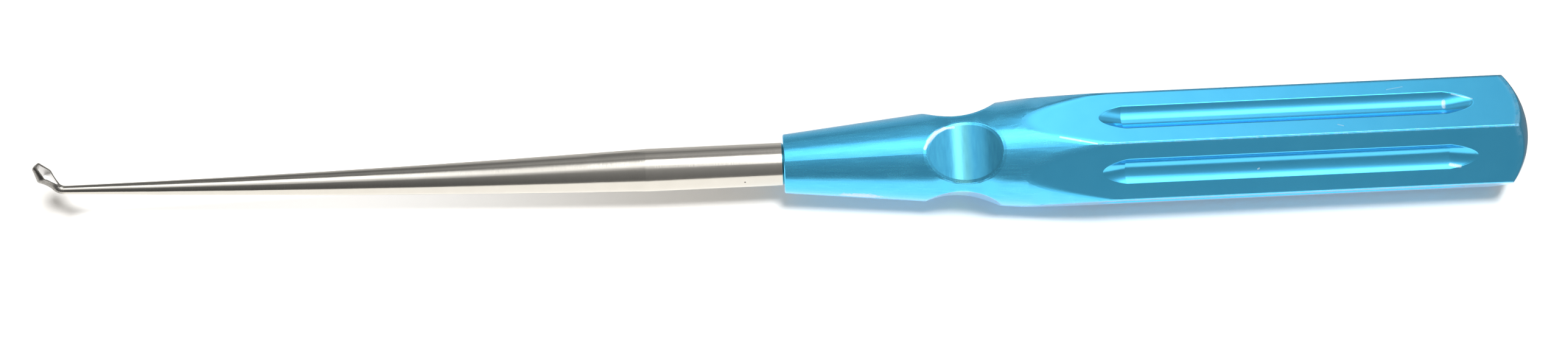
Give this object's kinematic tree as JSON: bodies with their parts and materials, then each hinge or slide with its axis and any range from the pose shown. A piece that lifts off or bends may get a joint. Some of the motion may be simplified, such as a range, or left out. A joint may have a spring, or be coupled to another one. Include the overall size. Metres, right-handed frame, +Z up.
{
  "type": "cervical curette",
  "caption": "Slender steel shaft with a small angled cup at its end, set in a hexagonal blue aluminium handle with grip flutes and finger dimples",
  "frame": {"origin": "on the table, under the middle of the overall length", "axes": "+X runs from the cup to the butt of the handle, +Z is up, and the curette lies on one flat of its handle"},
  "size_m": [0.228, 0.0188, 0.0164],
  "materials": {
    "handle": "blue anodised, satin",
    "steel": "polished, with fine turning marks"
  },
  "bodies": {
    "root": {"handle": "handle", "curette_shank": "steel"}
  },
  "joints": []
}
